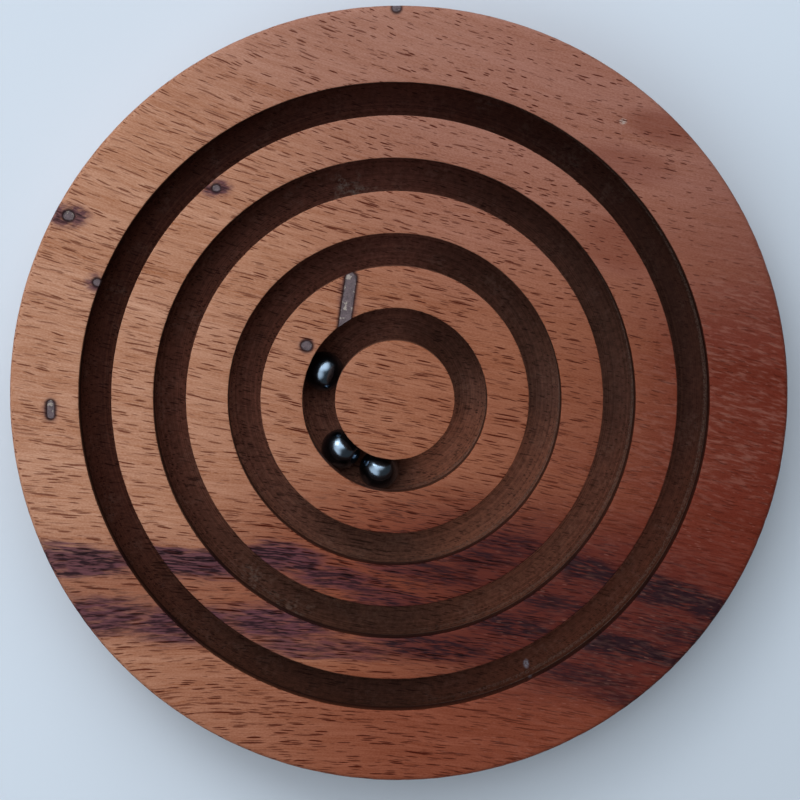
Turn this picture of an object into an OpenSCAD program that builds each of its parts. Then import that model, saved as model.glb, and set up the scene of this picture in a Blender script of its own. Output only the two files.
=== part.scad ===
// Round dexterity puzzle: a wooden board with concentric slots over round races, and captive steel balls.
// Millimetres. The origin is at the middle of the underside, and +Z points up.
// The board is two layers glued at the middle of the races; the slots part the top layer into rings.

/* [Board] */
// Diameter of the board
board_d = 152.4; // [137:0.1:200]
// Thickness of the board
board_t = 19; // [15:0.5:26]
// Width of the rim outside the outermost slot
rim_w = 14.475; // [10:0.025:20]
// Easing of the outer edge
rim_ease = 0.9; // [0.3:0.1:2]
// Easing of the slot edges
slot_ease = 0.3; // [0.1:0.1:0.6]

/* [Races] */
// Radius of the innermost race, along the path of the balls
first_race_r = 14.9; // [13.5:0.1:16]
// Bore of the races
race_d = 9.5; // [8.9:0.1:10.5]
// Width of the slots
slot_w = 6.35; // [5:0.05:7]
// Thickness of the lips that hold the balls in
lip_t = 4; // [2.5:0.1:5.5]
// How far the races lie off the board's middle, left and right
race_off_x = -1; // [-1.5:0.1:1.5]
// How far the races lie off the board's middle, up and down
race_off_y = -0.2; // [-1.5:0.1:1.5]

/* [Gates] */
// Bore of the gates between the races
gate_d = 8.6; // [8.2:0.1:8.8]
// Direction of the gate between the first and second race, counted from the middle
inner_gate_a = 240; // [0:1:360]
// Direction of the gate between the second and third race
middle_gate_a = 200; // [0:1:360]
// Direction of the gate between the third and fourth race
outer_gate_a = 104; // [0:1:360]

/* [Balls] */
// Diameter of the balls
ball_d = 7.94; // [7.2:0.01:8.1]
// Gap left between a ball and the floor of its race
ball_gap = 0.1; // [0.05:0.05:0.3]
// Direction of the first ball
ball_1_a = 160; // [140:1:180]
// Direction of the second ball
ball_2_a = 224.5; // [200:0.5:250]
// Gap left between the second ball and the third, next to it
ball_side_gap = 0.7; // [0.1:0.1:2]

/* [Worm holes] */
// Width of the large worm holes
hole_d = 2.4; // [1.6:0.1:2.8]
// Width of the small worm holes
small_hole_d = 1.8; // [1.2:0.1:2.2]
// Depth of the worm holes
hole_depth = 3; // [1.5:0.1:3.5]
// How far the fillings lie below the wood
fill_recess = 0.1; // [0.05:0.05:0.4]
// Gap left between a filling and the wood around it
fill_gap = 0.03; // [0.02:0.01:0.06]

/* [Hidden] */
$fn = 96;
wood_colour = [0.56, 0.36, 0.27];
base_colour = [0.45, 0.27, 0.19];
steel_colour = [0.22, 0.24, 0.27];
fill_colour = [0.52, 0.47, 0.48];
// The fourth race is the outermost, and the middle of the races is the glue line
last_race = 4;
last_race_r = board_d / 2 - rim_w - slot_w / 2;
race_pitch = (last_race_r - first_race_r) / (last_race - 1);
race_off = [race_off_x, race_off_y];
lip_rise = sqrt(pow(race_d / 2, 2) - pow(slot_w / 2, 2));
top_t = lip_t + lip_rise;
base_t = board_t - top_t;
// Cutting tools reach past the faces that they cut
past = 1;
ball_z = base_t - race_d / 2 + ball_gap + ball_d / 2;
ball_3_a = ball_2_a + 2 * asin((ball_d + ball_side_gap) / 2 / first_race_r);
// Facets of the turned shapes, fine enough for the small fillings that they cut
turn_facets = 360;

// Radius of a race, and of the slot edges inside and outside it
function race_r(n) = first_race_r + (n - 1) * race_pitch;
function slot_in(n) = race_r(n) - slot_w / 2;
function slot_out(n) = race_r(n) + slot_w / 2;

// Outer radius of the ring outside race n; past the last race that is the rim
function ring_out(n) = n == last_race ? board_d / 2 : slot_in(n + 1);

// Step of a given length in direction a
function step(length, a) = length * [cos(a), sin(a)];

// Point on the ring outside race n: a direction, and a share of the ring's width from its inner edge
function on_ring(n, a, share) =
  race_off + step(slot_out(n) + share * (ring_out(n) - slot_out(n)), a);

// How far the middle of a hole that breaks out of an edge lies inside that edge
edge_share = 0.3;
edge_in = edge_share * small_hole_d;
// Width of a long hole between its round ends, as a share of theirs
waist = 0.94;

// Directions of the filled worm holes from the middle of the races, and for the notch from the board's middle
rim_upper_a = 150.3;
rim_slot_a = 158.2;
rim_left_a = [180.5, 182.3];
rim_edge_a = 90.5;
outer_ring_a = 129.9;
inner_round_a = 148;
inner_long_a = [108.6, 122.8];

// Their shares of the ring's width; the long one in the inner ring runs right across it
rim_upper_share = 0.76;
rim_left_share = 0.38;
outer_ring_share = 0.82;
inner_round_share = 0.27;

// Their places
rim_upper_at = on_ring(last_race, rim_upper_a, rim_upper_share);
rim_slot_at = race_off + step(slot_out(last_race) + edge_in, rim_slot_a);
rim_left_at = [for (a = rim_left_a) on_ring(last_race, a, rim_left_share)];
rim_edge_at = step(board_d / 2 - edge_in, rim_edge_a);
outer_ring_at = on_ring(3, outer_ring_a, outer_ring_share);
inner_round_at = on_ring(1, inner_round_a, inner_round_share);
inner_long_at = [on_ring(1, inner_long_a[0], 1), on_ring(1, inner_long_a[1], 0)];

// Moves what is laid out about the middle of the races to its place on the board
module at_races() {
  translate(race_off)
    children();
}

// The board's outline as a turned blank between two heights, with its outer edge eased at one of them
module blank(low, high, ease_low, ease_high) {
  rotate_extrude($fn = turn_facets)
    difference() {
      translate([0, low])
        square([board_d / 2, high - low]);
      if (ease_low) {
        corner(board_d / 2, low, rim_ease, 1, -1);
      }
      if (ease_high) {
        corner(board_d / 2, high, rim_ease, 1, 1);
      }
    }
}

// What comes off a square corner to ease it; the sides tell which way the corner points
module corner(x, z, ease, side_x, side_z) {
  leg = ease + 2 * past;
  translate([x + side_x * past, z + side_z * past])
    polygon([[0, 0], [-side_x * leg, 0], [0, -side_z * leg]]);
}

// Section of the top layer between two radii, square and solid
module top_section(from, to) {
  translate([from, base_t])
    square([to - from, top_t]);
}

// What race n takes off the section of the ring inside or outside it: the bore and the eased slot edge
module race_section(n, side) {
  translate([race_r(n), base_t])
    circle(d = race_d);
  corner(race_r(n) - side * slot_w / 2, board_t, slot_ease, side, 1);
}

// Radial gate bore from race n to the race outside it
module gate(n, a) {
  at_races()
    rotate([0, 0, a])
      translate([race_r(n), 0, base_t])
        rotate([0, 90, 0])
          cylinder(d = gate_d, h = race_pitch);
}

// Solid ring outside race n, up to the next slot
module ring_blank(n) {
  at_races()
    rotate_extrude($fn = turn_facets)
      difference() {
        top_section(slot_out(n), slot_in(n + 1));
        race_section(n, -1);
        race_section(n + 1, 1);
      }
}

// Solid ring outside the last race, up to the board's outer edge
module rim_blank() {
  difference() {
    blank(base_t, board_t, false, true);
    at_races()
      rotate_extrude($fn = turn_facets)
        union() {
          translate([0, base_t - past])
            square([slot_out(last_race), top_t + 2 * past]);
          race_section(last_race, -1);
        }
  }
}

// Round worm hole from the top, or the filling in it when the gap and the recess are given
module round_hole(at, d, gap, recess) {
  translate([at[0], at[1], board_t - hole_depth + gap])
    cylinder(d = d - 2 * gap, h = hole_depth - gap + (recess > 0 ? -recess : past));
}

// Long worm hole between two points, slightly waisted, or the filling in it
module long_hole(ends, d, gap, recess) {
  run = ends[1] - ends[0];
  wide = waist * (d - 2 * gap);
  high = hole_depth - gap + (recess > 0 ? -recess : past);
  round_hole(ends[0], d, gap, recess);
  round_hole(ends[1], d, gap, recess);
  translate([ends[0][0], ends[0][1], board_t - hole_depth + gap])
    rotate([0, 0, atan2(run[1], run[0])])
      translate([0, -wide / 2, 0])
        cube([norm(run), wide, high]);
}

module base_board() {
  color(base_colour)
    difference() {
      blank(0, base_t, true, false);
      for (n = [1:last_race]) {
        at_races()
          rotate_extrude($fn = turn_facets)
            translate([race_r(n), base_t])
              circle(d = race_d);
      }
      gate(1, inner_gate_a);
      gate(2, middle_gate_a);
      gate(3, outer_gate_a);
    }
}

module rim_ring() {
  color(wood_colour)
    difference() {
      rim_blank();
      round_hole(rim_upper_at, hole_d, 0, 0);
      round_hole(rim_slot_at, small_hole_d, 0, 0);
      long_hole(rim_left_at, small_hole_d, 0, 0);
      round_hole(rim_edge_at, small_hole_d, 0, 0);
    }
}

module outer_ring() {
  color(wood_colour)
    difference() {
      ring_blank(3);
      gate(3, outer_gate_a);
      round_hole(outer_ring_at, small_hole_d, 0, 0);
    }
}

module middle_ring() {
  color(wood_colour)
    difference() {
      ring_blank(2);
      gate(2, middle_gate_a);
    }
}

module inner_ring() {
  color(wood_colour)
    difference() {
      ring_blank(1);
      gate(1, inner_gate_a);
      round_hole(inner_round_at, hole_d, 0, 0);
      long_hole(inner_long_at, hole_d, 0, 0);
    }
}

module centre_disc() {
  color(wood_colour)
    at_races()
      rotate_extrude($fn = turn_facets)
        difference() {
          top_section(0, slot_in(1));
          race_section(1, 1);
        }
}

module ball(a) {
  color(steel_colour)
    at_races()
      rotate([0, 0, a])
        translate([race_r(1), 0, ball_z])
          sphere(d = ball_d);
}

module ball_1() {
  ball(ball_1_a);
}

module ball_2() {
  ball(ball_2_a);
}

module ball_3() {
  ball(ball_3_a);
}

module fill_rim_upper() {
  color(fill_colour)
    round_hole(rim_upper_at, hole_d, fill_gap, fill_recess);
}

module fill_rim_slot() {
  color(fill_colour)
    intersection() {
      rim_blank();
      round_hole(rim_slot_at, small_hole_d, fill_gap, fill_recess);
    }
}

module fill_rim_left() {
  color(fill_colour)
    long_hole(rim_left_at, small_hole_d, fill_gap, fill_recess);
}

module fill_rim_edge() {
  color(fill_colour)
    intersection() {
      rim_blank();
      round_hole(rim_edge_at, small_hole_d, fill_gap, fill_recess);
    }
}

module fill_outer_ring() {
  color(fill_colour)
    round_hole(outer_ring_at, small_hole_d, fill_gap, fill_recess);
}

module fill_inner_round() {
  color(fill_colour)
    round_hole(inner_round_at, hole_d, fill_gap, fill_recess);
}

module fill_inner_long() {
  color(fill_colour)
    intersection() {
      ring_blank(1);
      long_hole(inner_long_at, hole_d, fill_gap, fill_recess);
    }
}

base_board();
rim_ring();
outer_ring();
middle_ring();
inner_ring();
centre_disc();
ball_1();
ball_2();
ball_3();
fill_rim_upper();
fill_rim_slot();
fill_rim_left();
fill_rim_edge();
fill_outer_ring();
fill_inner_round();
fill_inner_long();
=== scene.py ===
"""Round wooden dexterity puzzle: turned board and rings, steel balls, filled worm holes and a studio.

Metres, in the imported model's frame: the origin is at the middle of the underside and +Z points up.
"""

import math
from functools import partial

import bmesh
import bpy
from bpy.props import FloatProperty, FloatVectorProperty, IntProperty, PointerProperty
from bpy.types import Operator, Panel, PropertyGroup
from mathutils import Matrix, Vector


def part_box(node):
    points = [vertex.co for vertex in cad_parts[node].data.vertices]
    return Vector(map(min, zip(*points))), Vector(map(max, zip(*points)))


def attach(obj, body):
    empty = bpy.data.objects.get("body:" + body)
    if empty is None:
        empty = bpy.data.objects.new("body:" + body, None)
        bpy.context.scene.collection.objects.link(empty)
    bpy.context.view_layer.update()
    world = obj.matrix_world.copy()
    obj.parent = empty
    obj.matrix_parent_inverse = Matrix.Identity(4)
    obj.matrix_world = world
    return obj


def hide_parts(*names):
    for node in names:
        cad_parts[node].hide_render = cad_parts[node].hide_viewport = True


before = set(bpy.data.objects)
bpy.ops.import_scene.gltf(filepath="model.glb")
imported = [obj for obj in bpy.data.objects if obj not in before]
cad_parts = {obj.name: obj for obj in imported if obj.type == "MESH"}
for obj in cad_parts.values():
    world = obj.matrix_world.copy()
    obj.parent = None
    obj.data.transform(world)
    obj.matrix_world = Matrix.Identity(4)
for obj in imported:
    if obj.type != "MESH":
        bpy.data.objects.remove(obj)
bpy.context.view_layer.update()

bl_info = {
    "name": "Dexterity Puzzle",
    "version": (1, 0, 0),
    "blender": (4, 5, 0),
    "location": "View3D > Sidebar > Puzzle",
    "description": "Builds a slotted wooden ball puzzle over its packed frame",
    "category": "Object",
}

MM = 0.001

# Kinds of property
Colour = partial(FloatVectorProperty, size=4, subtype="COLOR")
Length = partial(FloatProperty, unit="LENGTH")
Angle = partial(FloatProperty, subtype="ANGLE")


def half_width(node):
    """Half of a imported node's width along X."""
    low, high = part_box(node)
    return (high[0] - low[0]) / 2


def middle(node):
    """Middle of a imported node's box."""
    low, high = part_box(node)
    return (Vector(low) + Vector(high)) / 2


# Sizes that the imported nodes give
BOARD_R = half_width("base_board")
TOP_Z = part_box("rim_ring")[1][2]
GLUE_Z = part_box("base_board")[1][2]
RACES = middle("centre_disc").to_2d()
SLOT_IN = [half_width(n) for n in ("centre_disc", "inner_ring", "middle_ring", "outer_ring")]
BALL_R = half_width("ball_1")


class PuzzleWood(PropertyGroup):
    """Sizes of the turned wood."""

    turns: IntProperty(
        name="Turns", description="Segments round a turned piece", default=640, min=64, max=900)
    slot_width: Length(name="Slot Width", description="Width of the slots", default=6.35 * MM)
    race_bore: Length(name="Race Bore", description="Bore of the races under the slots", default=9.5 * MM)
    gate_bore: Length(
        name="Gate Bore", description="Bore of the gates between the races", default=8.6 * MM)
    inner_gate: Angle(
        name="Inner Gate", description="Direction of the gate next to the innermost race",
        default=math.radians(240))
    middle_gate: Angle(
        name="Middle Gate", description="Direction of the gate between the middle races",
        default=math.radians(200))
    outer_gate: Angle(
        name="Outer Gate", description="Direction of the gate next to the outermost race",
        default=math.radians(104))
    rim_ease: Length(name="Rim Easing", description="Easing of the outer edges", default=1.1 * MM)
    slot_ease: Length(name="Slot Easing", description="Easing of the slot edges", default=0.20 * MM)
    edge_wear: Length(
        name="Edge Wear", description="Depth of the nicks along the edges", default=0.16 * MM)


class PuzzleFinish(PropertyGroup):
    """Colours of the finishes."""

    tan: Colour(name="Tan", description="Wood at the left", default=(0.41, 0.195, 0.118, 1))
    rose: Colour(name="Rose", description="Wood in the middle", default=(0.27, 0.095, 0.050, 1))
    red: Colour(name="Red", description="Wood at the right", default=(0.118, 0.019, 0.010, 1))
    dusk: Colour(
        name="Dusk", description="Paler, greyer wood at the top", default=(0.302, 0.140, 0.109, 1))
    amber: Colour(
        name="Amber", description="Wood below the dark streaks", default=(0.18, 0.042, 0.021, 1))
    indigo: Colour(name="Indigo", description="Dark streaks", default=(0.016, 0.006, 0.009, 1))
    plum: Colour(
        name="Plum", description="Soft tint round the dark streaks at the left",
        default=(0.090, 0.032, 0.054, 1))
    umber: Colour(
        name="Umber", description="Deep ground of the dark streaks at the right",
        default=(0.085, 0.016, 0.012, 1))
    pore: Colour(
        name="Pore", description="Shade of the open pores on the wood", default=(0.23, 0.065, 0.035, 1))
    raw: Colour(name="Raw", description="Unfinished wood in the races", default=(0.118, 0.058, 0.042, 1))
    filler: Colour(
        name="Filler", description="Filling of the worm holes", default=(0.112, 0.077, 0.086, 1))
    steel: Colour(name="Steel", description="Balls", default=(0.185, 0.245, 0.315, 1))


class PuzzleStudio(PropertyGroup):
    """Camera, light and floor."""

    distance: Length(name="Distance", description="Camera to the board's face", default=0.45)
    lean: Angle(
        name="Lean", description="Camera's lean towards the board's top", default=math.radians(5.5))
    sidestep: Angle(name="Sidestep", description="Camera's lean to the right", default=math.radians(-1.0))
    scale: FloatProperty(
        name="Scale", description="Pixels of an 800 pixel frame for each metre of the face", default=5115.0)
    sky: FloatProperty(
        name="Sky", description="Strength of the soft sky beyond the board's top", default=2.6)
    side_sky: FloatProperty(
        name="Side Sky", description="Strength of the soft sky to the board's left", default=1.7)
    ground: FloatProperty(name="Ground", description="Strength of the even light all round", default=0.09)
    window: FloatProperty(
        name="Window", description="Power of the soft lamp at the upper left", default=1.7)
    floor: Colour(name="Floor", description="Colour of the floor", default=(0.61, 0.683, 0.772, 1))


# Node wiring, for materials and for shapes
class Jig:
    """Places nodes in one tree and wires them up."""

    def __init__(self, tree):
        self.tree = tree

    def wire(self, value, socket):
        if isinstance(value, bpy.types.NodeSocket):
            self.tree.links.new(value, socket)
        else:
            socket.default_value = value

    def feed(self, node, wires):
        for key, value in wires.items():
            self.wire(value, node.inputs[key])
        return node

    def put(self, kind, wires=None, **settings):
        node = self.tree.nodes.new(kind)
        for name, value in settings.items():
            setattr(node, name, value)
        return self.feed(node, wires or {})

    def math(self, operation, *values):
        return self.put("ShaderNodeMath", dict(enumerate(values)), operation=operation).outputs[0]

    def plus(self, value, other):
        return self.math("ADD", value, other)

    def minus(self, value, other):
        return self.math("SUBTRACT", value, other)

    def times(self, value, *others):
        for other in others:
            value = self.math("MULTIPLY", value, other)
        return value

    def linear(self, value, factor, start):
        """Value times a factor, added to a start."""
        return self.math("MULTIPLY_ADD", value, factor, start)

    def apart(self, value, other):
        """How far two values lie apart."""
        return self.math("ABSOLUTE", self.minus(value, other))

    def most(self, value, *others):
        for other in others:
            value = self.math("MAXIMUM", value, other)
        return value

    def shape(self, kind, wires=None, **settings):
        """First output of a new Geometry Nodes node."""
        return self.put("GeometryNode" + kind, wires, **settings).outputs[0]

    def vector(self, operation, *values):
        node = self.put("ShaderNodeVectorMath", dict(enumerate(values)), operation=operation)
        return node.outputs["Value" if operation in ("LENGTH", "DOT_PRODUCT") else "Vector"]

    def scaled(self, value, factor):
        node = self.put("ShaderNodeVectorMath", {"Vector": value, "Scale": factor}, operation="SCALE")
        return node.outputs["Vector"]

    def parts(self, value):
        return self.put("ShaderNodeSeparateXYZ", {"Vector": value}).outputs[:3]

    def joined(self, x, y, z=0.0):
        return self.put("ShaderNodeCombineXYZ", {"X": x, "Y": y, "Z": z}).outputs["Vector"]

    def ramp(self, value, low, high, to_low=0.0, to_high=1.0):
        """Value eased from one span to another, held at both ends."""
        wires = {"Value": value, "From Min": low, "From Max": high, "To Min": to_low, "To Max": to_high}
        return self.put("ShaderNodeMapRange", wires, interpolation_type="SMOOTHSTEP").outputs["Result"]

    def mix(self, share, first, second, mode="MIX"):
        wires = {0: share, 6: first, 7: second}
        return self.put("ShaderNodeMix", wires, data_type="RGBA", blend_type=mode).outputs[2]

    def noise(self, place, detail=2.0, roughness=0.5):
        wires = {"Vector": place, "Scale": 1.0, "Detail": detail, "Roughness": roughness}
        return self.put("ShaderNodeTexNoise", wires).outputs["Fac"]

    def bump(self, height, depth):
        """Normal that a height gives, with its depth in metres."""
        wires = {"Height": height, "Strength": 1.0, "Distance": depth}
        return self.put("ShaderNodeBump", wires).outputs["Normal"]

    def from_line(self, place, first, last):
        """Distance from the line between two places."""
        run = Vector(last) - Vector(first)
        off = self.vector("SUBTRACT", place, first)
        share = self.vector("DOT_PRODUCT", off, run / max(run.length_squared, 1e-12))
        share = self.math("MINIMUM", self.most(share, 0.0), 1.0)
        return self.vector("LENGTH", self.vector("SUBTRACT", off, self.scaled(run, share)))

    def spots(self, place, rows, deep=1.0):
        """Mask of soft spots: each row gives a place, a reach along X and Y, and a strength."""
        masks = []
        for x, y, long, wide, strength in rows:
            off = self.vector("SUBTRACT", place, (x, y, 0))
            away = self.vector("LENGTH", self.vector("DIVIDE", off, (long, wide, deep)))
            masks.append(self.times(self.ramp(away, 1.25, 0.45), strength))
        return self.most(*masks)


def new_group(name, kind, inputs, outputs):
    """Empty node group with named sockets: its jig, its inputs and its output node."""
    tree = bpy.data.node_groups.new(name, kind + "NodeTree")
    for in_out, sockets in (("INPUT", inputs), ("OUTPUT", outputs)):
        for label, socket in sockets.items():
            tree.interface.new_socket(name=label, in_out=in_out, socket_type="NodeSocket" + socket)
    jig = Jig(tree)
    return jig, jig.put("NodeGroupInput").outputs, jig.put("NodeGroupOutput")


# What the plank and the raw races put out
SURFACE = {"Colour": "Color", "Roughness": "Float", "Height": "Float"}

# Grain: lines run from left to right and sink to the right, more steeply at the top left
GRAIN_SLOPE = 0.1985
SLOPE_BY_X = 0.00075
SLOPE_BY_Y = 0.00186
SLOPE_BY_BOTH = -32.5e-6

# Dark streaks: place along and across the grain, half length, half width in millimetres, strength
STREAKS = [
    (-64, -36.7, 13, 2.8, 1.40),
    (-42, -36.1, 16, 2.8, 1.45),
    (-24, -34.1, 10, 3.0, 1.40),
    (-12, -37.2, 10, 2.6, 1.05),
    (-2, -39.8, 9, 2.4, 1.05),
    (5, -33.0, 13, 2.6, 1.00),
    (15, -28.6, 9, 2.2, 1.00),
    (23, -25.2, 9, 2.2, 0.95),
    (36, -26.9, 9, 2.6, 1.35),
    (50, -28.3, 13, 3.2, 1.70),
    (64, -30.2, 9, 3.2, 1.70),
    (22, -41.6, 11, 2.4, 1.25),
    (44, -42.2, 16, 2.8, 1.60),
    (58, -37.0, 12, 2.4, 1.00),
    (30, -35.5, 12, 2.4, 1.00),
    (-59, -45.5, 12, 3.4, 1.00),
    (-42, -47.4, 13, 4.0, 1.05),
    (-24, -46.6, 13, 4.0, 1.10),
    (5, -48.2, 13, 3.4, 1.30),
    (-14, -51.1, 17, 2.4, 0.85),
    (35, -49.5, 14, 2.6, 0.90),
    (45, -52.8, 10, 2.2, 0.75),
]

# Deeper ground that the dark streaks lie in, and soft red patches, given in the same way
STREAK_GROUND = [(-8, -42, 98, 12, 0.6), (22, -36, 60, 22, 1.0)]
BLUSHES = [(51, 67, 8, 4, 0.45), (44, 58, 10, 4, 0.36), (43, 41, 9, 7, 0.35), (62, 22, 12, 5, 0.25)]

# Stains round the worm holes: node, half length, half width in millimetres, strength
STAINS = [
    ("fill_rim_upper", 4.4, 2.4, 1.00),
    ("fill_rim_slot", 2.6, 2.0, 0.75),
    ("fill_outer_ring", 3.2, 1.9, 0.90),
    ("fill_inner_long", 2.2, 5.2, 0.45),
    ("fill_inner_round", 1.9, 1.7, 0.40),
    ("fill_rim_left", 1.8, 2.6, 0.40),
]

# A small pale chip near the top right, and its colour
CHIP_AT = (43.2, 54.0, 0.75, 0.6, 0.9)
CHIP = (0.46, 0.37, 0.33, 1)

# Colours of the plank, each from the finish of the same name
COLOURS = ("Tan", "Rose", "Red", "Dusk", "Amber", "Plum", "Umber", "Indigo", "Pore")


def plank_group():
    """Solid wood: flowing grain, pores, broad colour from tan to red, dark streaks and stains."""
    sockets = {"Place": "Vector", "Streaks": "Float", **dict.fromkeys(COLOURS, "Color")}
    jig, inputs, out = new_group("Plank", "Shader", sockets, SURFACE)
    marked = inputs["Streaks"]
    tan, rose, red, dusk, amber, plum, umber, indigo, pore = [inputs[name] for name in COLOURS]
    place = jig.scaled(inputs["Place"], 1 / MM)
    x, y, z = jig.parts(place)
    flat = jig.joined(x, y)
    corner = jig.plus(x, y)
    # Grain lines: the height across the grain stays the same along a line
    slope = jig.linear(x, SLOPE_BY_X / 2, GRAIN_SLOPE)
    turn = jig.times(y, jig.linear(x, SLOPE_BY_BOTH / 2, SLOPE_BY_Y))
    sunk = jig.linear(x, jig.plus(slope, turn), y)
    sway = jig.noise(jig.vector("MULTIPLY", place, (0.02, 0.035, 0.035)), 1.0)
    wobble = jig.noise(jig.vector("MULTIPLY", place, (0.11, 0.28, 0.28)), 1.0)
    across = jig.linear(wobble, 0.9, jig.linear(sway, 2.4, sunk))
    across = jig.plus(across, -1.65)
    flow = jig.joined(x, across, z)

    def along(length, width, detail=2.0, roughness=0.5):
        """Noise drawn out along the grain, by its length and width in millimetres."""
        drawn = jig.vector("MULTIPLY", flow, (1 / length, 1 / width, 1 / width))
        return jig.noise(drawn, detail, roughness)

    band = along(130, 5.5, 3.0)
    figure = along(34, 1.3, 3.0, 0.6)
    fibre = along(6, 0.22, 3.0, 0.65)
    speck = along(0.5, 0.2)
    patch = jig.noise(jig.scaled(place, 0.03))
    # Broad colour
    right = jig.linear(y, -0.30, jig.times(x, 0.95))
    right = jig.linear(patch, 34.0, jig.plus(right, -17.0))
    right = jig.linear(band, 24.0, jig.plus(right, -12.0))
    colour = jig.mix(jig.ramp(right, -62, 18), tan, rose)
    colour = jig.mix(jig.ramp(right, 2, 74), colour, red)
    top = jig.linear(jig.math("MINIMUM", x, 10.0), 0.7, y)
    colour = jig.mix(jig.ramp(top, 10, 66, 0.0, 0.62), colour, dusk)
    low = jig.times(jig.ramp(sunk, -52, -57, 0.0, 0.75), jig.ramp(x, -58, 12, 0.1, 1.0))
    colour = jig.mix(low, colour, amber)
    # Fibres: dark ones are redder than light ones
    shade = jig.linear(fibre, 1.1, jig.linear(figure, 0.6, -0.85))
    shade = jig.times(shade, jig.ramp(corner, 0, 70, 0.9, 0.5))
    shade = jig.linear(speck, 0.7, jig.linear(band, 0.47, shade))
    shade = jig.plus(shade, -0.56)
    tone = [jig.linear(shade, share, 1.0) for share in (0.8, 1.3, 1.7)]
    colour = jig.mix(1.0, colour, jig.joined(*tone), "MULTIPLY")
    # Dark streaks, torn along the grain and broken up into dashes
    ragged = jig.linear(along(9, 0.7, 2.0, 0.65), 3.6, -1.8)
    dash = along(3.2, 0.32, 2.0, 0.6)
    torn = jig.joined(x, jig.plus(across, ragged))
    streaks = jig.times(jig.spots(torn, STREAKS), marked)
    zone = jig.times(jig.spots(torn, STREAK_GROUND), marked)
    solid = jig.plus(dash, jig.ramp(x, 0, 40, 0.0, 0.09))
    inked = jig.times(streaks, jig.ramp(solid, 0.38, 0.66, 0.05, 0.9))
    sprinkled = jig.ramp(jig.linear(zone, 0.10, dash), 0.58, 0.74)
    sprinkled = jig.times(sprinkled, jig.times(zone, 0.7))
    # Stains round the worm holes, and a dark line round each filling
    blot = jig.noise(jig.vector("MULTIPLY", place, (0.4, 0.9, 0.9)), 3.0, 0.6)
    stains = jig.spots(flat, [(*(middle(node).to_2d() / MM), *row) for node, *row in STAINS])
    stains = jig.times(jig.ramp(blot, 0.34, 0.60, 0.3, 1.2), stains, jig.ramp(z, 11, 17))
    tinted = jig.times(streaks, jig.ramp(along(5.0, 0.9), 0.35, 0.62, 0.45, 0.9))
    wash = jig.times(jig.most(tinted, stains), marked)
    stains = jig.times(jig.ramp(dash, 0.38, 0.66, 0.1, 0.8), stains)
    uneven = jig.joined(x, jig.linear(ragged, 0.06, y))
    for node in sum(HOLES.values(), []):
        start, end, radius = hole_ends(node)
        away = jig.from_line(uneven, (*(start / MM), 0), (*(end / MM), 0))
        line = jig.ramp(away, radius / MM + 0.62, radius / MM - 0.05, 0.0, 0.9)
        stains = jig.most(stains, line)
    dark = jig.most(inked, sprinkled, jig.times(stains, marked))
    # The marks go on from the palest to the darkest, and the chip last
    blush = jig.times(jig.spots(torn, BLUSHES), marked)
    colour = jig.mix(blush, colour, red)
    ground = jig.mix(jig.ramp(x, -12, 20), amber, umber)
    colour = jig.mix(jig.times(zone, 0.92), colour, ground)
    tint = jig.mix(jig.ramp(x, -30, 12), plum, umber)
    colour = jig.mix(jig.math("MINIMUM", wash, 0.8), colour, tint)
    colour = jig.mix(jig.math("MINIMUM", dark, 0.95), colour, indigo)
    chip = jig.times(jig.spots(flat, [CHIP_AT]), jig.ramp(speck, 0.36, 0.58, 0.1, 1.0), marked)
    colour = jig.mix(chip, colour, CHIP)
    # Pores: spindles laid along the grain, one in each cell, in clusters and of uneven depth
    cluster = jig.linear(along(13, 2.2), 2.4, -1.2)
    cluster = jig.minus(cluster, jig.ramp(corner, 66, 92, 0.0, 0.35))
    stretch = jig.ramp(corner, 5, 75, 1.0, 0.45)

    def spindles(cell, half, left_out, shift):
        """Mask of spindles: size of a cell, half size of a spindle, share left out and a shift."""
        size = (cell[0], cell[1], cell[1])
        grid = jig.vector("DIVIDE", jig.vector("ADD", flow, shift), size)
        wires = {"Vector": grid, "Scale": 1.0, "Randomness": 1.0}
        cells = jig.put("ShaderNodeTexVoronoi", wires).outputs
        off = jig.vector("MULTIPLY", jig.vector("SUBTRACT", grid, cells["Position"]), size)
        spindle = jig.joined(jig.times(stretch, half[0]), half[1], half[1])
        away = jig.vector("LENGTH", jig.vector("DIVIDE", off, spindle))
        chance = jig.parts(cells["Color"])
        kept = jig.ramp(jig.plus(chance[0], cluster), left_out - 0.08, left_out + 0.08)
        depth = jig.times(kept, jig.ramp(chance[1], 0.0, 1.0, 0.5, 1.0))
        return jig.times(jig.ramp(away, 1.05, 0.7), depth)

    pores = jig.most(
        spindles((4.4, 0.44), (1.7, 0.14), 0.12, (0, 0, 0)),
        spindles((8.0, 0.90), (3.4, 0.17), 0.38, (17.3, 5.1, 3.9)),
        jig.ramp(along(3.4, 0.24, 1.0), 0.66, 0.78, 0.0, 0.9))
    # Towards the right the pores close, and pale flames and painted glints, small painted highlights, show
    # instead
    opened = jig.times(jig.ramp(right, -60, -10, 0.8, 1.0), jig.ramp(right, 20, 66, 1.0, 0.4))
    colour = jig.mix(jig.times(pores, opened), colour, pore, "MULTIPLY")
    flames = jig.times(
        jig.ramp(along(2.3, 0.52), 0.44, 0.74),
        jig.ramp(right, 26, 66, 0.0, 0.33),
        jig.ramp(y, -28, -8, 0.35, 1.0))
    painted_glints = jig.times(
        spindles((2.2, 0.5), (0.6, 0.11), 0.55, (41.9, 11.7, 8.3)),
        jig.ramp(right, 10, 50, 0.0, 0.3))
    colour = jig.mix(jig.most(flames, painted_glints), colour, dusk)
    rough = jig.linear(pores, 0.22, jig.linear(fibre, 0.16, 0.36))
    height = jig.linear(pores, -1.0, jig.times(fibre, 0.12))
    jig.feed(out, {"Colour": colour, "Roughness": rough, "Height": height})
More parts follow.
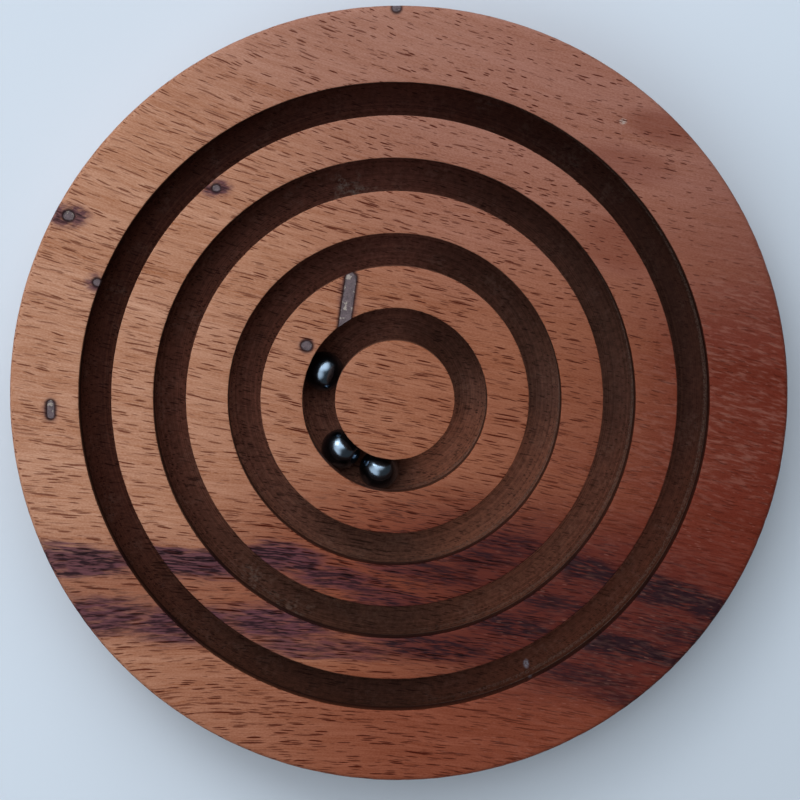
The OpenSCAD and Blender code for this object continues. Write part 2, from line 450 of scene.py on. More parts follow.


# Painted light and shade that multiply the cut wood of a race, by direction and by distance from the middle
PAINTED_RUDDY_SHADE = (0.9, 0.68, 0.68, 1)
PAINTED_LIGHT = (1.62, 1.42, 1.26, 1)
PAINTED_SHADE = (0.62, 0.60, 0.58, 1)
PAINTED_OUTER_SHADE = (0.5, 0.43, 0.41, 1)

# Colours in a race: dust and a crumb that lie in it, painted shade on the lip walls, and painted light
# along the lips and the feet
DUST = (0.22, 0.19, 0.165, 1)
PAINTED_WALL_SHADE = (0.014, 0.004, 0.003, 1)
PAINTED_STRIP_LIGHT = (0.20, 0.15, 0.125, 1)
CRUMB = (0.27, 0.26, 0.31, 1)

# Places of dust and of the crumb about the races' middle, given as the streaks are, and their depth
DUST_AT = [(-19, -38, 13, 8, 0.5), (-11, 41, 10, 6, 0.7)]
CRUMB_AT = (26.8, -54.8, 0.6, 0.9, 1.0)
RACE_DEEP = 40

# Place of a painted lit strip along the foot of each race, as a share of the bore's radius
PAINTED_STRIP_SHARE = 0.79


def raw_race_group(races):
    """Unfinished race: dull cut wood with rings left by the cutter and dust, with painted light and shade:
    painted lighter towards the lower right, painted darker towards the upper corners and the outer edge,
    painted shade on the lip walls and painted lit strips along the lips and feet.
    """
    sockets = {"Place": "Vector", "Wood": "Color", "Raw": "Color", "Mask": "Float",
               "Roughness": "Float", "Height": "Float"}
    jig, inputs, out = new_group("Raw Race", "Shader", sockets, SURFACE)
    mask = inputs["Mask"]
    place = jig.scaled(jig.vector("SUBTRACT", inputs["Place"], (*RACES, 0)), 1 / MM)
    x, y, z = jig.parts(place)
    reach = jig.vector("LENGTH", jig.joined(x, y))
    rings = jig.noise(jig.joined(jig.times(reach, 4.2), jig.times(z, 4.2)))
    chatter = jig.noise(jig.scaled(place, 1.1), 3.0, 0.65)
    tone = jig.linear(rings, 1.3, jig.linear(chatter, 1.4, -0.35))
    tone = jig.times(tone, jig.linear(inputs["Height"], 0.5, 1.0))
    cut = jig.mix(0.8, inputs["Wood"], inputs["Raw"])
    cut = jig.mix(1.0, cut, tone, "MULTIPLY")
    # Painted light and shade: each race is painted palest towards the lower right, darker towards the upper
    # corners, redder towards the upper left and darker towards the outer edge
    down = jig.minus(x, y)
    painted_light_fall = jig.math("DIVIDE", down, reach)
    rise = jig.math("DIVIDE", jig.plus(x, y), reach)
    painted_dimming = jig.plus(jig.ramp(painted_light_fall, -1.0, -1.4, 0.0, 0.7), jig.ramp(rise, 1.0, 1.4))
    cut = jig.mix(jig.ramp(down, 40, -45), cut, PAINTED_RUDDY_SHADE, "MULTIPLY")
    cut = jig.mix(jig.ramp(painted_light_fall, 1.0, 1.4), cut, PAINTED_LIGHT, "MULTIPLY")
    cut = jig.mix(painted_dimming, cut, PAINTED_SHADE, "MULTIPLY")
    cut = jig.mix(jig.ramp(reach, 34, 60), cut, PAINTED_OUTER_SHADE, "MULTIPLY")
    dust = jig.noise(jig.scaled(place, 0.16), 4.0, 0.6)
    dust = jig.times(jig.ramp(dust, 0.46, 0.70), jig.ramp(chatter, 0.40, 0.66))
    lain = jig.plus(jig.spots(place, DUST_AT, RACE_DEEP), 0.10)
    cut = jig.mix(jig.times(dust, lain), cut, DUST)
    colour = jig.mix(mask, inputs["Wood"], cut)

    def circles(out_by, edge, core):
        """Mask round each race at a distance from its middle, by the widths of its edge and core."""
        return jig.most(*[
            jig.ramp(jig.apart(reach, (r + out_by) / MM), edge, core) for r in races.r])

    # Outer walls of the slots: painted shade on the lip wall, and a painted lit strip along the lower edge
    # of the lip
    walls = circles(races.half, 0.7, 0.4)
    lip = (GLUE_Z + math.sqrt(races.bore ** 2 - races.half ** 2)) / MM
    # Painted shade: the lip walls are painted near black
    painted_wall_shade_share = jig.times(
        walls, jig.ramp(z, lip, lip + 0.5), jig.ramp(z, TOP_Z / MM - 0.1, TOP_Z / MM - 0.5), 0.75)
    colour = jig.mix(painted_wall_shade_share, colour, PAINTED_WALL_SHADE)
    nap = jig.noise(jig.scaled(place, 2.6))
    painted_lip_strip = jig.times(walls, jig.ramp(jig.apart(z, lip), 0.6, 0.3))
    # A painted lit strip along the outer foot of each race, as pale as the lip's painted strip towards the
    # right
    painted_foot_strip = circles(PAINTED_STRIP_SHARE * races.bore, 0.36, 0.14)
    painted_foot_strip = jig.times(painted_foot_strip, jig.ramp(z, GLUE_Z / MM, GLUE_Z / MM - 0.5, 0.0, 0.55))
    # Painted light: the strips are painted paler towards the right, where the light falls
    pale = jig.times(
        jig.most(painted_lip_strip, painted_foot_strip),
        jig.ramp(nap, 0.42, 0.60, 0.05, 0.7),
        jig.ramp(jig.math("DIVIDE", x, reach), -0.1, 0.6))
    colour = jig.mix(pale, colour, PAINTED_STRIP_LIGHT)
    crumb = jig.times(jig.spots(place, [CRUMB_AT], RACE_DEEP), mask)
    crumb = jig.times(crumb, jig.ramp(nap, 0.36, 0.56, 0.3, 1.0))
    colour = jig.mix(crumb, colour, CRUMB)
    dull = jig.linear(chatter, 0.2, 0.55)
    rough = jig.linear(mask, jig.minus(dull, inputs["Roughness"]), inputs["Roughness"])
    scored = jig.times(mask, jig.linear(rings, 0.7, chatter))
    height = jig.plus(inputs["Height"], scored)
    jig.feed(out, {"Colour": colour, "Roughness": rough, "Height": height})


def new_material(name):
    """Material, its jig, its Principled BSDF and the place of each point."""
    material = bpy.data.materials.new(name)
    material.use_nodes = True
    jig = Jig(material.node_tree)
    shader = material.node_tree.nodes["Principled BSDF"]
    return material, jig, shader, jig.put("ShaderNodeTexCoord").outputs["Object"]


def wood_material(name, finish, races, streaks, shift):
    """Oiled plank, raw where the races are cut into it, with a dark glue line round the edge."""
    groups = bpy.data.node_groups
    if "Plank" not in groups:
        plank_group()
        raw_race_group(races)
    material, jig, shader, place = new_material(name)
    moved = jig.put("ShaderNodeMapping", {"Vector": place, "Location": shift}).outputs["Vector"]
    wires = {label: getattr(finish, label.lower()) for label in COLOURS}
    wires.update({"Place": moved, "Streaks": streaks})
    plank = jig.put("ShaderNodeGroup", wires, node_tree=groups["Plank"]).outputs
    x, y, z = jig.parts(place)
    reach = jig.vector("LENGTH", jig.joined(x, y))
    # Raw below the face, above the underside and inside the outer edge
    mask = jig.times(
        jig.ramp(reach, BOARD_R - 3 * MM, BOARD_R - 5 * MM),
        jig.ramp(z, TOP_Z - 0.8 * MM, TOP_Z - 3.2 * MM),
        jig.ramp(z, 0.4 * MM, 0.9 * MM))
    wires = {"Place": place, "Wood": plank["Colour"], "Raw": finish.raw, "Mask": mask,
             "Roughness": plank["Roughness"], "Height": plank["Height"]}
    race = jig.put("ShaderNodeGroup", wires, node_tree=groups["Raw Race"]).outputs
    line = jig.times(
        jig.ramp(jig.apart(z, GLUE_Z), 0.22 * MM, 0.08 * MM, 0.0, 0.75),
        jig.ramp(reach, BOARD_R - 1.5 * MM, BOARD_R - 0.8 * MM))
    jig.feed(shader, {
        "Base Color": jig.mix(line, race["Colour"], finish.indigo),
        "Roughness": race["Roughness"],
        "Specular IOR Level": 0.06,
        "Normal": jig.bump(race["Height"], 0.06 * MM)})
    return material


# Wood dust on the balls, and pale grit in the fillings
FILM = (0.16, 0.15, 0.15, 1)
GRIT = (0.42, 0.36, 0.31, 1)


def steel_material(finish):
    """Dark polished bearing steel, with faint scuffs and a film of wood dust."""
    material, jig, shader, place = new_material("polished_steel")
    grain = jig.scaled(place, 1 / MM)
    cloud = jig.noise(jig.scaled(grain, 0.7), 3.0)
    scuff = jig.noise(jig.vector("MULTIPLY", grain, (1.2, 6.0, 3.0)), 4.0, 0.7)
    jig.feed(shader, {
        "Base Color": jig.mix(jig.ramp(cloud, 0.5, 0.75, 0.0, 0.25), finish.steel, FILM),
        "Roughness": jig.linear(scuff, 0.14, jig.linear(cloud, 0.08, 0.08)),
        "Metallic": 1.0,
        "Normal": jig.bump(scuff, 0.004 * MM)})
    return material


def filler_material(finish):
    """Hard grey filling, speckled, darker where it meets the wood and open in a few pits."""
    material, jig, shader, place = new_material("grey_filling")
    grain = jig.scaled(place, 1 / MM)
    cloud = jig.noise(jig.scaled(grain, 0.9), 3.0, 0.6)
    speck = jig.noise(jig.scaled(grain, 3.6), 3.0, 0.7)
    pits = jig.ramp(speck, 0.60, 0.68)
    tone = jig.linear(cloud, 1.5, jig.linear(speck, 1.3, -0.4))
    colour = jig.mix(1.0, finish.filler, tone, "MULTIPLY")
    pale = jig.noise(jig.vector("ADD", jig.scaled(grain, 0.8), (3.1, 0.4, 7.7)))
    colour = jig.mix(jig.ramp(pale, 0.60, 0.66, 0.0, 0.7), colour, GRIT)
    rim = jig.put("ShaderNodeAttribute", attribute_name="rim").outputs["Fac"]
    dark = jig.most(jig.times(pits, 0.6), jig.times(rim, 0.9))
    jig.feed(shader, {
        "Base Color": jig.mix(dark, colour, finish.indigo),
        "Roughness": jig.linear(speck, 0.3, 0.45),
        "Normal": jig.bump(jig.linear(pits, -0.8, speck), 0.12 * MM)})
    return material


# Turned wood: depth of the groove at the glue line, and the way off to a place that only gives a direction
GROOVE = 0.12 * MM
AWAY = 2 * MM


def arc(middle_r, radius, start, end, count):
    """Points of a race's bore about its middle on the glue line, by direction in degrees."""
    return [(middle_r + radius * math.cos(math.radians(a)), GLUE_Z + radius * math.sin(math.radians(a)))
            for a in (start + (end - start) * i / count for i in range(count + 1))]


def run(first, last, count):
    """Points from one place to another, without the ends."""
    return [(first[0] + (last[0] - first[0]) * i / count, first[1] + (last[1] - first[1]) * i / count)
            for i in range(1, count)]


def eased(before, corner, after, ease, steps=4):
    """Round-over of a corner of the section, each point with its share of wear."""
    def cut(to):
        away = math.dist(corner, to)
        return [c + (t - c) * ease / away for c, t in zip(corner, to)]
    first, last = cut(before), cut(after)
    points = []
    for i in range(steps + 1):
        t = i / steps
        point = [(1 - t) ** 2 * a + 2 * t * (1 - t) * c + t * t * b
                 for a, c, b in zip(first, corner, last)]
        points.append((*point, 1.0 - abs(2 * t - 1) * 0.6))
    return points


class Races:
    """Radii of the races and slots, counted from the middle, and the sections between them."""

    def __init__(self, wood):
        self.wood = wood
        self.half = wood.slot_width / 2
        self.bore = wood.race_bore / 2
        self.r = [edge + self.half for edge in SLOT_IN]
        self.lip = math.degrees(math.acos(self.half / self.bore))
        self.gates = list(enumerate((wood.inner_gate, wood.middle_gate, wood.outer_gate)))

    def inner_side(self, n):
        """Wall of the wood inside race n, from the glue line up to the face."""
        r = self.r[n]
        wall = arc(r, self.bore, 180, 180 - self.lip, 10)
        face = (r - self.half, TOP_Z)
        return wall + run(wall[-1], face, 5)[:-1] + eased(
            wall[-1], face, (face[0] - AWAY, TOP_Z), self.wood.slot_ease)

    def outer_side(self, n):
        """Wall of the wood outside race n, from the face down to the glue line."""
        r = self.r[n]
        wall = arc(r, self.bore, self.lip, 0, 10)
        face = (r + self.half, TOP_Z)
        return eased((face[0] + AWAY, TOP_Z), face, wall[0], self.wood.slot_ease) + run(
            face, wall[0], 5)[1:] + wall

    def ring(self, n):
        """Closed section of the ring outside race n."""
        outside, inside = self.inner_side(n + 1), self.outer_side(n)
        bottom = run(inside[-1], outside[0], 4)
        return outside + run(outside[-1][:2], inside[0][:2], 8) + inside + bottom

    def disc(self):
        """Open section of the middle disc, from its underside's middle to its face's middle."""
        outside = self.inner_side(0)
        start, end = (0.0, GLUE_Z), (0.0, TOP_Z)
        return [start] + run(start, outside[0], 4) + outside + run(outside[-1][:2], end, 8) + [end]

    def rim(self):
        """Closed section of the rim ring, with a fine groove where it meets the base."""
        inside = self.outer_side(3)
        low, high = (BOARD_R, GLUE_Z), (BOARD_R, TOP_Z)
        edge = eased((BOARD_R - AWAY, GLUE_Z), low, high, GROOVE, 2)
        shoulder = eased(low, high, (BOARD_R - AWAY, TOP_Z), self.wood.rim_ease, 6)
        return (edge + run(edge[-1][:2], shoulder[0][:2], 8) + shoulder
                + run(shoulder[-1][:2], inside[0][:2], 12) + inside + run(inside[-1], edge[0][:2], 6))

    def base(self):
        """Open section of the base, from its underside's middle round to its face's middle."""
        points = [(0.0, GLUE_Z)]
        for r in self.r:
            trough = arc(r, self.bore, 180, 360, 22)
            points += run(points[-1][:2], trough[0], 4) + trough
        high, low = (BOARD_R, GLUE_Z), (BOARD_R, 0.0)
        edge = eased((BOARD_R - AWAY, GLUE_Z), high, low, GROOVE, 2)
        foot = eased(high, low, (BOARD_R - AWAY, 0.0), self.wood.rim_ease, 6)
        points += run(points[-1][:2], edge[0][:2], 8) + edge
        points += run(edge[-1][:2], foot[0][:2], 10) + foot
        points += run(foot[-1][:2], (0.0, 0.0), 10) + [(0.0, 0.0)]
        return points[::-1]


def tree_end(jig, shape, finish, out):
    """Ends a Geometry Nodes tree: realizes the shape, gives it its finish and puts it out."""
    shape = jig.shape("RealizeInstances", {"Geometry": shape})
    jig.wire(jig.shape("SetMaterial", {"Geometry": shape, "Material": finish}), out.inputs[0])
    return jig.tree


# Radius of the circle that a section is swept along
PATH_R = 0.01


def turned_tree():
    """Geometry Nodes lathe: turns a section, sets the races off the board's middle, wears and cuts it."""
    sockets = {"Section": "Geometry", "Turns": "Int", "Races": "Vector", "Steady From": "Float",
               "Steady To": "Float", "Wear": "Float", "Cutters": "Object", "Finish": "Material"}
    jig, inputs, out = new_group("Turned Wood", "Geometry", sockets, {"Wood": "Geometry"})
    section = jig.shape("MeshToCurve", {"Mesh": inputs["Section"]})
    path = jig.shape("CurvePrimitiveCircle", {"Resolution": inputs["Turns"], "Radius": PATH_R})
    body = jig.shape("CurveToMesh", {"Curve": path, "Profile Curve": section})
    body = jig.shape("FlipFaces", {"Mesh": body})
    body = jig.shape("MergeByDistance", {"Geometry": body, "Distance": 1e-6})
    place = jig.shape("InputPosition")
    reach = jig.vector("LENGTH", jig.joined(*jig.parts(place)[:2]))
    follow = jig.ramp(reach, inputs["Steady From"], inputs["Steady To"], 1.0, 0.0)
    body = jig.shape("SetPosition", {"Geometry": body, "Offset": jig.scaled(inputs["Races"], follow)})
    # Wear, only along the eased edges
    wear = jig.shape("InputNamedAttribute", {"Name": "wear"}, data_type="FLOAT")
    coarse = jig.ramp(jig.noise(jig.scaled(place, 260.0)), 0.35, 0.85)
    nicks = jig.ramp(jig.noise(jig.scaled(place, 900.0)), 0.45, 0.8)
    depth = jig.linear(nicks, 0.6, jig.times(coarse, 0.5))
    depth = jig.times(wear, depth, jig.times(inputs["Wear"], -1.0))
    worn = jig.scaled(jig.shape("InputNormal"), depth)
    body = jig.shape("SetPosition", {"Geometry": body, "Offset": worn})
    cutters = jig.put("GeometryNodeObjectInfo", {"Object": inputs["Cutters"]}).outputs["Geometry"]
    wires = {"Mesh 1": body, "Mesh 2": cutters}
    body = jig.shape("MeshBoolean", wires, operation="DIFFERENCE", solver="MANIFOLD")
    return tree_end(jig, body, inputs["Finish"], out)


def add_object(name, data):
    piece = bpy.data.objects.new(name, data)
    bpy.context.scene.collection.objects.link(piece)
    return piece


def baked(piece):
    """Replaces a piece's mesh by what its modifiers make of it, faces outwards and edges marked."""
    shape = bpy.data.meshes.new_from_object(piece.evaluated_get(bpy.context.evaluated_depsgraph_get()))
    piece.modifiers.clear()
    piece.data = shape
    solid = bmesh.new()
    solid.from_mesh(shape)
    bmesh.ops.remove_doubles(solid, verts=solid.verts, dist=1e-7)
    bmesh.ops.recalc_face_normals(solid, faces=solid.faces)
    solid.to_mesh(shape)
    solid.free()
    shape.shade_smooth()
    shape.set_sharp_from_angle(angle=math.radians(32))
    return piece


def grown(name, mesh, tree, **values):
    """Piece that a Geometry Nodes tree makes of a mesh, with the tree's inputs set by identifier."""
    piece = add_object(name, mesh)
    modifier = piece.modifiers.new(tree.name, "NODES")
    modifier.node_group = tree
    sockets = {item.name: item.identifier for item in tree.interface.items_tree if item.in_out == "INPUT"}
    for label, value in values.items():
        modifier[sockets[label.replace("_", " ")]] = value
    return baked(piece)


def turned(name, section, closed, races, material, gates=(), holes=()):
    """Piece turned from a section of points that may carry a share of wear, with its gates and holes."""
    mesh = bpy.data.meshes.new(name)
    count = len(section)
    edges = [(i, (i + 1) % count) for i in range(count if closed else count - 1)]
    mesh.from_pydata([(p[0] - PATH_R, -p[1], 0.0) for p in section], edges, [])
    wear = mesh.attributes.new("wear", "FLOAT", "POINT")
    wear.data.foreach_set("value", [p[2] if len(p) > 2 else 0.0 for p in section])
    tree = bpy.data.node_groups.get("Turned Wood") or turned_tree()
    cutters = cutter_object(name + "_cuts", races, gates, holes)
    piece = grown(name, mesh, tree, Turns=races.wood.turns, Races=(*RACES, 0.0),
                  Steady_From=SLOT_IN[-1] + 9 * MM, Steady_To=BOARD_R - 2 * MM,
                  Wear=races.wood.edge_wear, Cutters=cutters, Finish=material)
    bpy.data.objects.remove(cutters)
    return piece


# Worm holes: the nodes of their fillings, in the ring that each lies in
HOLES = {
    "rim_ring": ["fill_rim_upper", "fill_rim_slot", "fill_rim_left", "fill_rim_edge"],
    "outer_ring": ["fill_outer_ring"],
    "inner_ring": ["fill_inner_round", "fill_inner_long"],
}
HOLE_DEPTH = 3 * MM

# Holes that break out of an edge, and how far inside the edge the middle of a round one lies
OPEN_HOLES = ("fill_rim_slot", "fill_rim_edge", "fill_inner_long")
EDGE_IN = 0.54 * MM

# Radii of the holes whose nodes aren't plain round ones, and the ends of the gallery across the inner ring
HOLE_R = {"fill_rim_slot": 0.9 * MM, "fill_rim_edge": 0.9 * MM, "fill_inner_long": 1.2 * MM,
          "fill_rim_left": 0.9 * MM}
GALLERY = (Vector((-9.52, 23.75)) * MM, Vector((-10.97, 13.8)) * MM)


def hole_ends(node):
    """The two ends of a hole's middle line, and its radius; a round hole's ends are one place."""
    low, high = (Vector(c).to_2d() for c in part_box(node))
    centre = (low + high) / 2
    radius = HOLE_R.get(node, (high.x - low.x) / 2)
    if node == "fill_rim_left":
        half = Vector(((high.x - low.x) / 2 - radius, -((high.y - low.y) / 2 - radius)))
        return centre - half, centre + half, radius
    if node == "fill_inner_long":
        return *GALLERY, radius
    if node == "fill_rim_slot":
        out = (centre - RACES).normalized()
        centre = RACES + out * (SLOT_IN[-1] + bpy.context.scene.puzzle_wood.slot_width + EDGE_IN)
    if node == "fill_rim_edge":
        centre = centre.normalized() * (BOARD_R - EDGE_IN)
    return centre, centre, radius


def hole_outline(node, inset, count=48):
    """Points round a worm hole, uneven as the worm left it and never wider than its node."""
    start, end, radius = hole_ends(node)
    seed = sum(ord(c) for c in node)
    along = (end - start).normalized() if (end - start).length > 0 else Vector((1, 0))
    points = []
    for i in range(count):
        a = 2 * math.pi * i / count
        uneven = 0.90 + 0.055 * math.sin(2 * a + seed) + 0.03 * math.sin(3 * a + 2 * seed)
        uneven += 0.012 * math.sin(7 * a + 3 * seed)
        way = Vector((math.cos(a), math.sin(a)))
        points.append((end if way.dot(along) > 0 else start) + way * (radius * uneven - inset))
    return points


def add_walls(solid, loops):
    """Joins closed loops of points, one after another, by faces, and closes both ends."""
    count = len(loops[0])
    for outer, inner in zip(loops, loops[1:]):
        for i in range(count):
            j = (i + 1) % count
            solid.faces.new((outer[i], outer[j], inner[j], inner[i]))
    solid.faces.new(loops[0][::-1])
    solid.faces.new(loops[-1])


def cut_gate(solid, races, n, angle):
    """Adds a radial bore from race n to the next one to a cutter."""
    length = races.r[n + 1] - races.r[n]
    turn = Matrix.Rotation(angle, 4, "Z")
    place = Matrix.Translation((*RACES, GLUE_Z)) @ turn @ Matrix.Translation(
        (races.r[n] + length / 2, 0, 0)) @ Matrix.Rotation(math.pi / 2, 4, "Y")
    bore = races.wood.gate_bore / 2
    bmesh.ops.create_cone(
        solid, cap_ends=True, segments=96, radius1=bore, radius2=bore, depth=length, matrix=place)


def cutter_object(name, races, gates, holes):
    """Temporary object that holds the gates and the worm holes, open at the face, of one piece."""
    solid = bmesh.new()
    for n, angle in gates:
        cut_gate(solid, races, n, angle)
    for node in holes:
        points = hole_outline(node, 0.0)
        add_walls(solid, [[solid.verts.new((*p, z)) for p in points]
                          for z in (TOP_Z - HOLE_DEPTH, TOP_Z + 1 * MM)])
    mesh = bpy.data.meshes.new(name)
    solid.to_mesh(mesh)
    solid.free()
    return add_object(name, mesh)


def placed(piece, node, body):
    """Lets a finished piece stand for its node and ride on its body."""
    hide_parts(node)
    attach(piece, body)


# How far the base's plank lies from the top's, so that their grain differs
BASE_SHIFT = (0.021, 0.013, 0.004)


class PUZZLE_OT_base(Operator):
    """Turn the base with the lower halves of the races and gates"""

    bl_idname = "puzzle.base"
    bl_label = "Base Board"

    def execute(self, context):
        races = Races(context.scene.puzzle_wood)
        material = wood_material("base_plank", context.scene.puzzle_finish, races, 0.0, BASE_SHIFT)
        piece = turned("turned_base", races.base(), False, races, material, races.gates)
        placed(piece, "base_board", "board")
        return {"FINISHED"}


class PUZZLE_OT_rings(Operator):
    """Turn the rim, the rings between the slots and the middle disc"""

    bl_idname = "puzzle.rings"
    bl_label = "Rings and Disc"

    def execute(self, context):
        races = Races(context.scene.puzzle_wood)
        material = wood_material("oiled_plank", context.scene.puzzle_finish, races, 1.0, (0, 0, 0))
        rows = (
            ("centre_disc", races.disc(), False, []),
            ("inner_ring", races.ring(0), True, races.gates[:1]),
            ("middle_ring", races.ring(1), True, races.gates[1:2]),
            ("outer_ring", races.ring(2), True, races.gates[2:]),
            ("rim_ring", races.rim(), True, []),
        )
        for node, section, closed, gates in rows:
            holes = HOLES.get(node, [])
            piece = turned("turned_" + node, section, closed, races, material, gates, holes)
            placed(piece, node, "board")
        return {"FINISHED"}


# Points along an edge of the block that a ball is rounded from, and depth of the balls' pits
BLOCK_POINTS = 41
PIT_DEPTH = 0.015 * MM


def ball_tree():
    """Geometry Nodes ball: a block rounded into a ball, with fine pits from rolling on grit."""
    sockets = {"Blank": "Geometry", "Radius": "Float", "Place": "Vector", "Pits": "Float",
               "Seed": "Float", "Finish": "Material"}
    jig, inputs, out = new_group("Rolled Ball", "Geometry", sockets, {"Ball": "Geometry"})
    block = jig.shape("MeshCube", {"Vertices " + axis: BLOCK_POINTS for axis in "XYZ"})
    place = jig.shape("InputPosition")
    # Even spacing: each face's grid is spread by angle before it is pushed out to the ball
    spread = jig.vector("TANGENT", jig.scaled(place, math.pi / 2))
    way = jig.vector("NORMALIZE", spread)
    speck = jig.noise(jig.vector("ADD", jig.scaled(way, 9.0), inputs["Seed"]))
    pit = jig.times(jig.ramp(speck, 0.68, 0.78), inputs["Pits"])
    pushed = jig.scaled(way, jig.minus(inputs["Radius"], pit))
    wires = {"Geometry": block, "Position": jig.vector("ADD", pushed, inputs["Place"])}
    return tree_end(jig, jig.shape("SetPosition", wires), inputs["Finish"], out)


class PUZZLE_OT_balls(Operator):
    """Make the three loose steel balls"""

    bl_idname = "puzzle.balls"
    bl_label = "Steel Balls"

    def execute(self, context):
        material = steel_material(context.scene.puzzle_finish)
        tree = ball_tree()
        for number, (node, body) in enumerate(
                (("ball_1", "first_ball"), ("ball_2", "second_ball"), ("ball_3", "third_ball"))):
            name = "steel_" + node
            piece = grown(name, bpy.data.meshes.new(name), tree, Radius=BALL_R, Place=middle(node),
                          Pits=PIT_DEPTH, Seed=3.7 * number, Finish=material)
            placed(piece, node, body)
        return {"FINISHED"}


# Fillings: clearance round them, and the shares of the outline that the loops of their faces lie at
FILL_GAP = 0.02 * MM
FILL_LOOPS = (1.0, 0.93, 0.8, 0.6, 0.35)


def plug(node, material):
    """Filling with an uneven, slightly sunk face; the rim attribute is full where it meets the wood."""
    low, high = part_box(node)
    outline = hole_outline(node, FILL_GAP)
    start, end = hole_ends(node)[:2]
    seed = sum(ord(c) for c in node)
    solid = bmesh.new()
    rim = solid.verts.layers.float.new("rim")
    spine = [start if (p - start).length < (p - end).length else end for p in outline]
    loops = []
    for share in FILL_LOOPS:
        loop = []
        for p, s in zip(outline, spine):
            at = s + (p - s) * share
            uneven = 0.5 + 0.5 * math.sin(at.x / MM * 3.1 + seed) * math.cos(at.y / MM * 2.7 + 2 * seed)
            sunk = (0.03 + 0.12 * uneven * (1 - share ** 6) + 0.10 * share ** 12) * MM
            vert = solid.verts.new((*at, high[2] - sunk))
            vert[rim] = share ** 8
            loop.append(vert)
        loops.append(loop)
    foot = [solid.verts.new((*p, low[2])) for p in outline]
    for vert in foot:
        vert[rim] = 1.0
    add_walls(solid, [foot] + loops)
    bmesh.ops.recalc_face_normals(solid, faces=solid.faces)
    mesh = bpy.data.meshes.new("plug_" + node)
    solid.to_mesh(mesh)
    solid.free()
    mesh.materials.append(material)
    mesh.shade_smooth()
    mesh.set_sharp_from_angle(angle=math.radians(40))
    return add_object("plug_" + node, mesh)


class PUZZLE_OT_fillings(Operator):
    """Fill the worm holes with rough grey plugs"""

    bl_idname = "puzzle.fillings"
    bl_label = "Worm Hole Fillings"

    def execute(self, context):
        races = Races(context.scene.puzzle_wood)
        material = filler_material(context.scene.puzzle_finish)
        sections = {"rim_ring": races.rim(), "inner_ring": races.ring(0)}
        for ring, nodes in HOLES.items():
            for node in nodes:
                piece = plug(node, material)
                if node in OPEN_HOLES:
                    blank = turned("blank", sections[ring], True, races, material)
                    trim = piece.modifiers.new("Trim", "BOOLEAN")
                    trim.operation = "INTERSECT"
                    trim.solver = "EXACT"
                    trim.object = blank
                    baked(piece)
                    bpy.data.objects.remove(blank)
                placed(piece, node, "board")
        return {"FINISHED"}


# Cosines of the angles from a bright part of the sky at which it starts and is full
SKY_EDGE = math.cos(math.radians(41))
SKY_FULL = math.cos(math.radians(8))

# Directions of the sky's bright parts, colours of the sky and the lamp, and the lamp's place and width
SKY_WAY = (0.0, 0.62, 0.79)
SIDE_SKY_WAY = (-0.55, -0.15, 0.82)
SKY_COLOUR = (0.93, 0.97, 1.0, 1)
LAMP_COLOUR = (0.97, 0.985, 1.0)
LAMP_PLACE = (-0.35, 0.55, 0.65)
LAMP_WIDTH = 0.35

# Half width and height of the floor
FLOOR_HALF = 3.0
FLOOR_Z = -0.05 * MM

# Width of the camera's sensor in millimetres, and of the frame in pixels
SENSOR = 36
FRAME = 800


def aimed(thing, place, target, up=(0, 1, 0)):
    """Puts a camera or lamp at a place, looking at a target."""
    ahead = (Vector(target) - Vector(place)).normalized()
    right = ahead.cross(Vector(up)).normalized()
    turn = Matrix((right, right.cross(ahead), -ahead)).transposed().to_4x4()
    thing.matrix_world = Matrix.Translation(place) @ turn


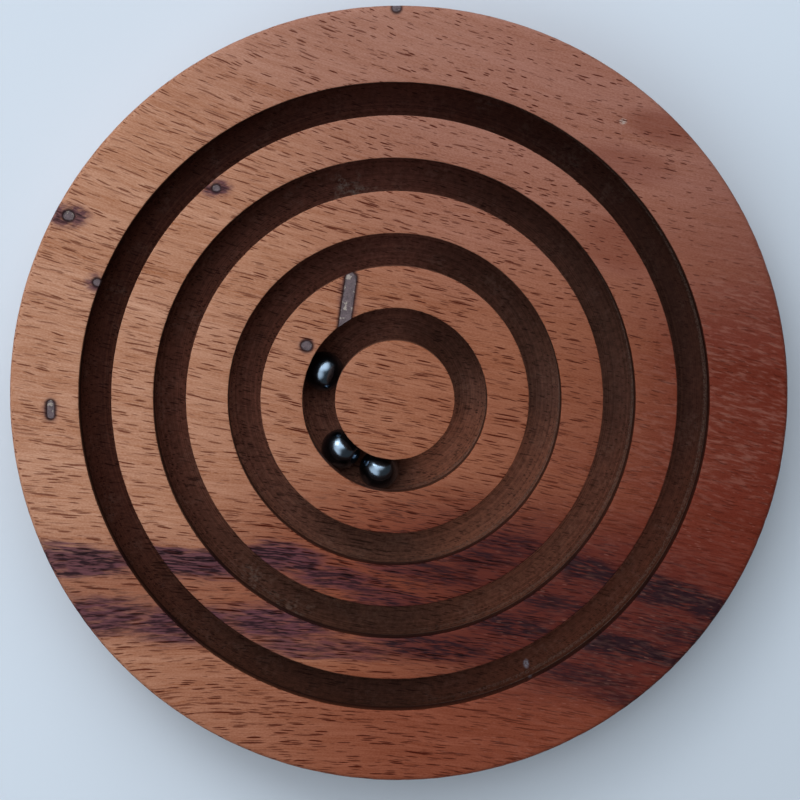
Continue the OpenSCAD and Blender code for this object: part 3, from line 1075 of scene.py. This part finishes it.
class PUZZLE_OT_stage(Operator):
    """Set the floor, the soft light and the camera above the board"""

    bl_idname = "puzzle.stage"
    bl_label = "Stage"

    def execute(self, context):
        studio = context.scene.puzzle_studio
        self.floor(studio)
        self.light(context.scene, studio)
        self.camera(context.scene, studio)
        return {"FINISHED"}

    def floor(self, studio):
        mesh = bpy.data.meshes.new("floor")
        corners = [(x * FLOOR_HALF, y * FLOOR_HALF, FLOOR_Z)
                   for x, y in ((-1, -1), (1, -1), (1, 1), (-1, 1))]
        mesh.from_pydata(corners, [], [(0, 1, 2, 3)])
        material, jig, shader, place = new_material("pale_floor")
        cloud = jig.noise(jig.scaled(place, 9.0), 3.0)
        x, y = jig.parts(place)[:2]
        # Painted shade: the floor is painted darker towards the lower right
        painted_light_fall = jig.ramp(jig.minus(x, y), -0.03, 0.16, 1.0, 0.85)
        tone = jig.times(painted_light_fall, jig.linear(cloud, 0.05, 0.975))
        colour = jig.mix(1.0, studio.floor, tone, "MULTIPLY")
        jig.feed(shader, {"Base Color": colour, "Roughness": 0.8})
        mesh.materials.append(material)
        add_object("floor", mesh)

    def light(self, scene, studio):
        world = bpy.data.worlds.new("soft_sky")
        world.use_nodes = True
        jig = Jig(world.node_tree)
        way = jig.put("ShaderNodeTexCoord").outputs["Generated"]
        glow = studio.ground
        for toward, strength in ((SKY_WAY, studio.sky), (SIDE_SKY_WAY, studio.side_sky)):
            near = jig.vector("DOT_PRODUCT", way, Vector(toward).normalized())
            glow = jig.plus(jig.ramp(near, SKY_EDGE, SKY_FULL, 0.0, strength), glow)
        jig.feed(world.node_tree.nodes["Background"], {"Color": SKY_COLOUR, "Strength": glow})
        scene.world = world
        lamp = bpy.data.lights.new("window", "AREA")
        lamp.shape = "SQUARE"
        lamp.size = LAMP_WIDTH
        lamp.energy = studio.window
        lamp.color = LAMP_COLOUR
        aimed(add_object("window", lamp), LAMP_PLACE, (0, 0, 0))

    def camera(self, scene, studio):
        lens = bpy.data.cameras.new("camera")
        lens.sensor_width = SENSOR
        lens.lens = studio.scale * studio.distance / FRAME * SENSOR
        lens.clip_start = 0.01
        camera = add_object("camera", lens)
        target = Vector((0, -0.1 * MM, TOP_Z))
        away = Vector((math.sin(studio.sidestep), math.sin(studio.lean) * math.cos(studio.sidestep),
                       math.cos(studio.lean) * math.cos(studio.sidestep)))
        aimed(camera, target + away * studio.distance, target)
        scene.camera = camera


class PUZZLE_PT_panel(Panel):
    """Lists the steps that build the puzzle"""

    bl_idname = "PUZZLE_PT_panel"
    bl_label = "Dexterity Puzzle"
    bl_space_type = "VIEW_3D"
    bl_region_type = "UI"
    bl_category = "Puzzle"

    def draw(self, context):
        for step in STEPS:
            self.layout.operator(step.bl_idname)
        for group in (context.scene.puzzle_wood, context.scene.puzzle_finish, context.scene.puzzle_studio):
            box = self.layout.box()
            for name in group.__annotations__:
                box.prop(group, name)


STEPS = (PUZZLE_OT_stage, PUZZLE_OT_base, PUZZLE_OT_rings, PUZZLE_OT_balls, PUZZLE_OT_fillings)
GROUPS = (PuzzleWood, PuzzleFinish, PuzzleStudio)


def register():
    for item in GROUPS + STEPS + (PUZZLE_PT_panel,):
        bpy.utils.register_class(item)
    bpy.types.Scene.puzzle_wood = PointerProperty(type=PuzzleWood)
    bpy.types.Scene.puzzle_finish = PointerProperty(type=PuzzleFinish)
    bpy.types.Scene.puzzle_studio = PointerProperty(type=PuzzleStudio)


def unregister():
    del bpy.types.Scene.puzzle_studio
    del bpy.types.Scene.puzzle_finish
    del bpy.types.Scene.puzzle_wood
    for item in reversed(GROUPS + STEPS + (PUZZLE_PT_panel,)):
        bpy.utils.unregister_class(item)


def main():
    register()
    bpy.context.scene.view_settings.view_transform = "Standard"
    for step in STEPS:
        group, name = step.bl_idname.split(".")
        getattr(getattr(bpy.ops, group), name)()


if __name__ == "__main__":
    main()
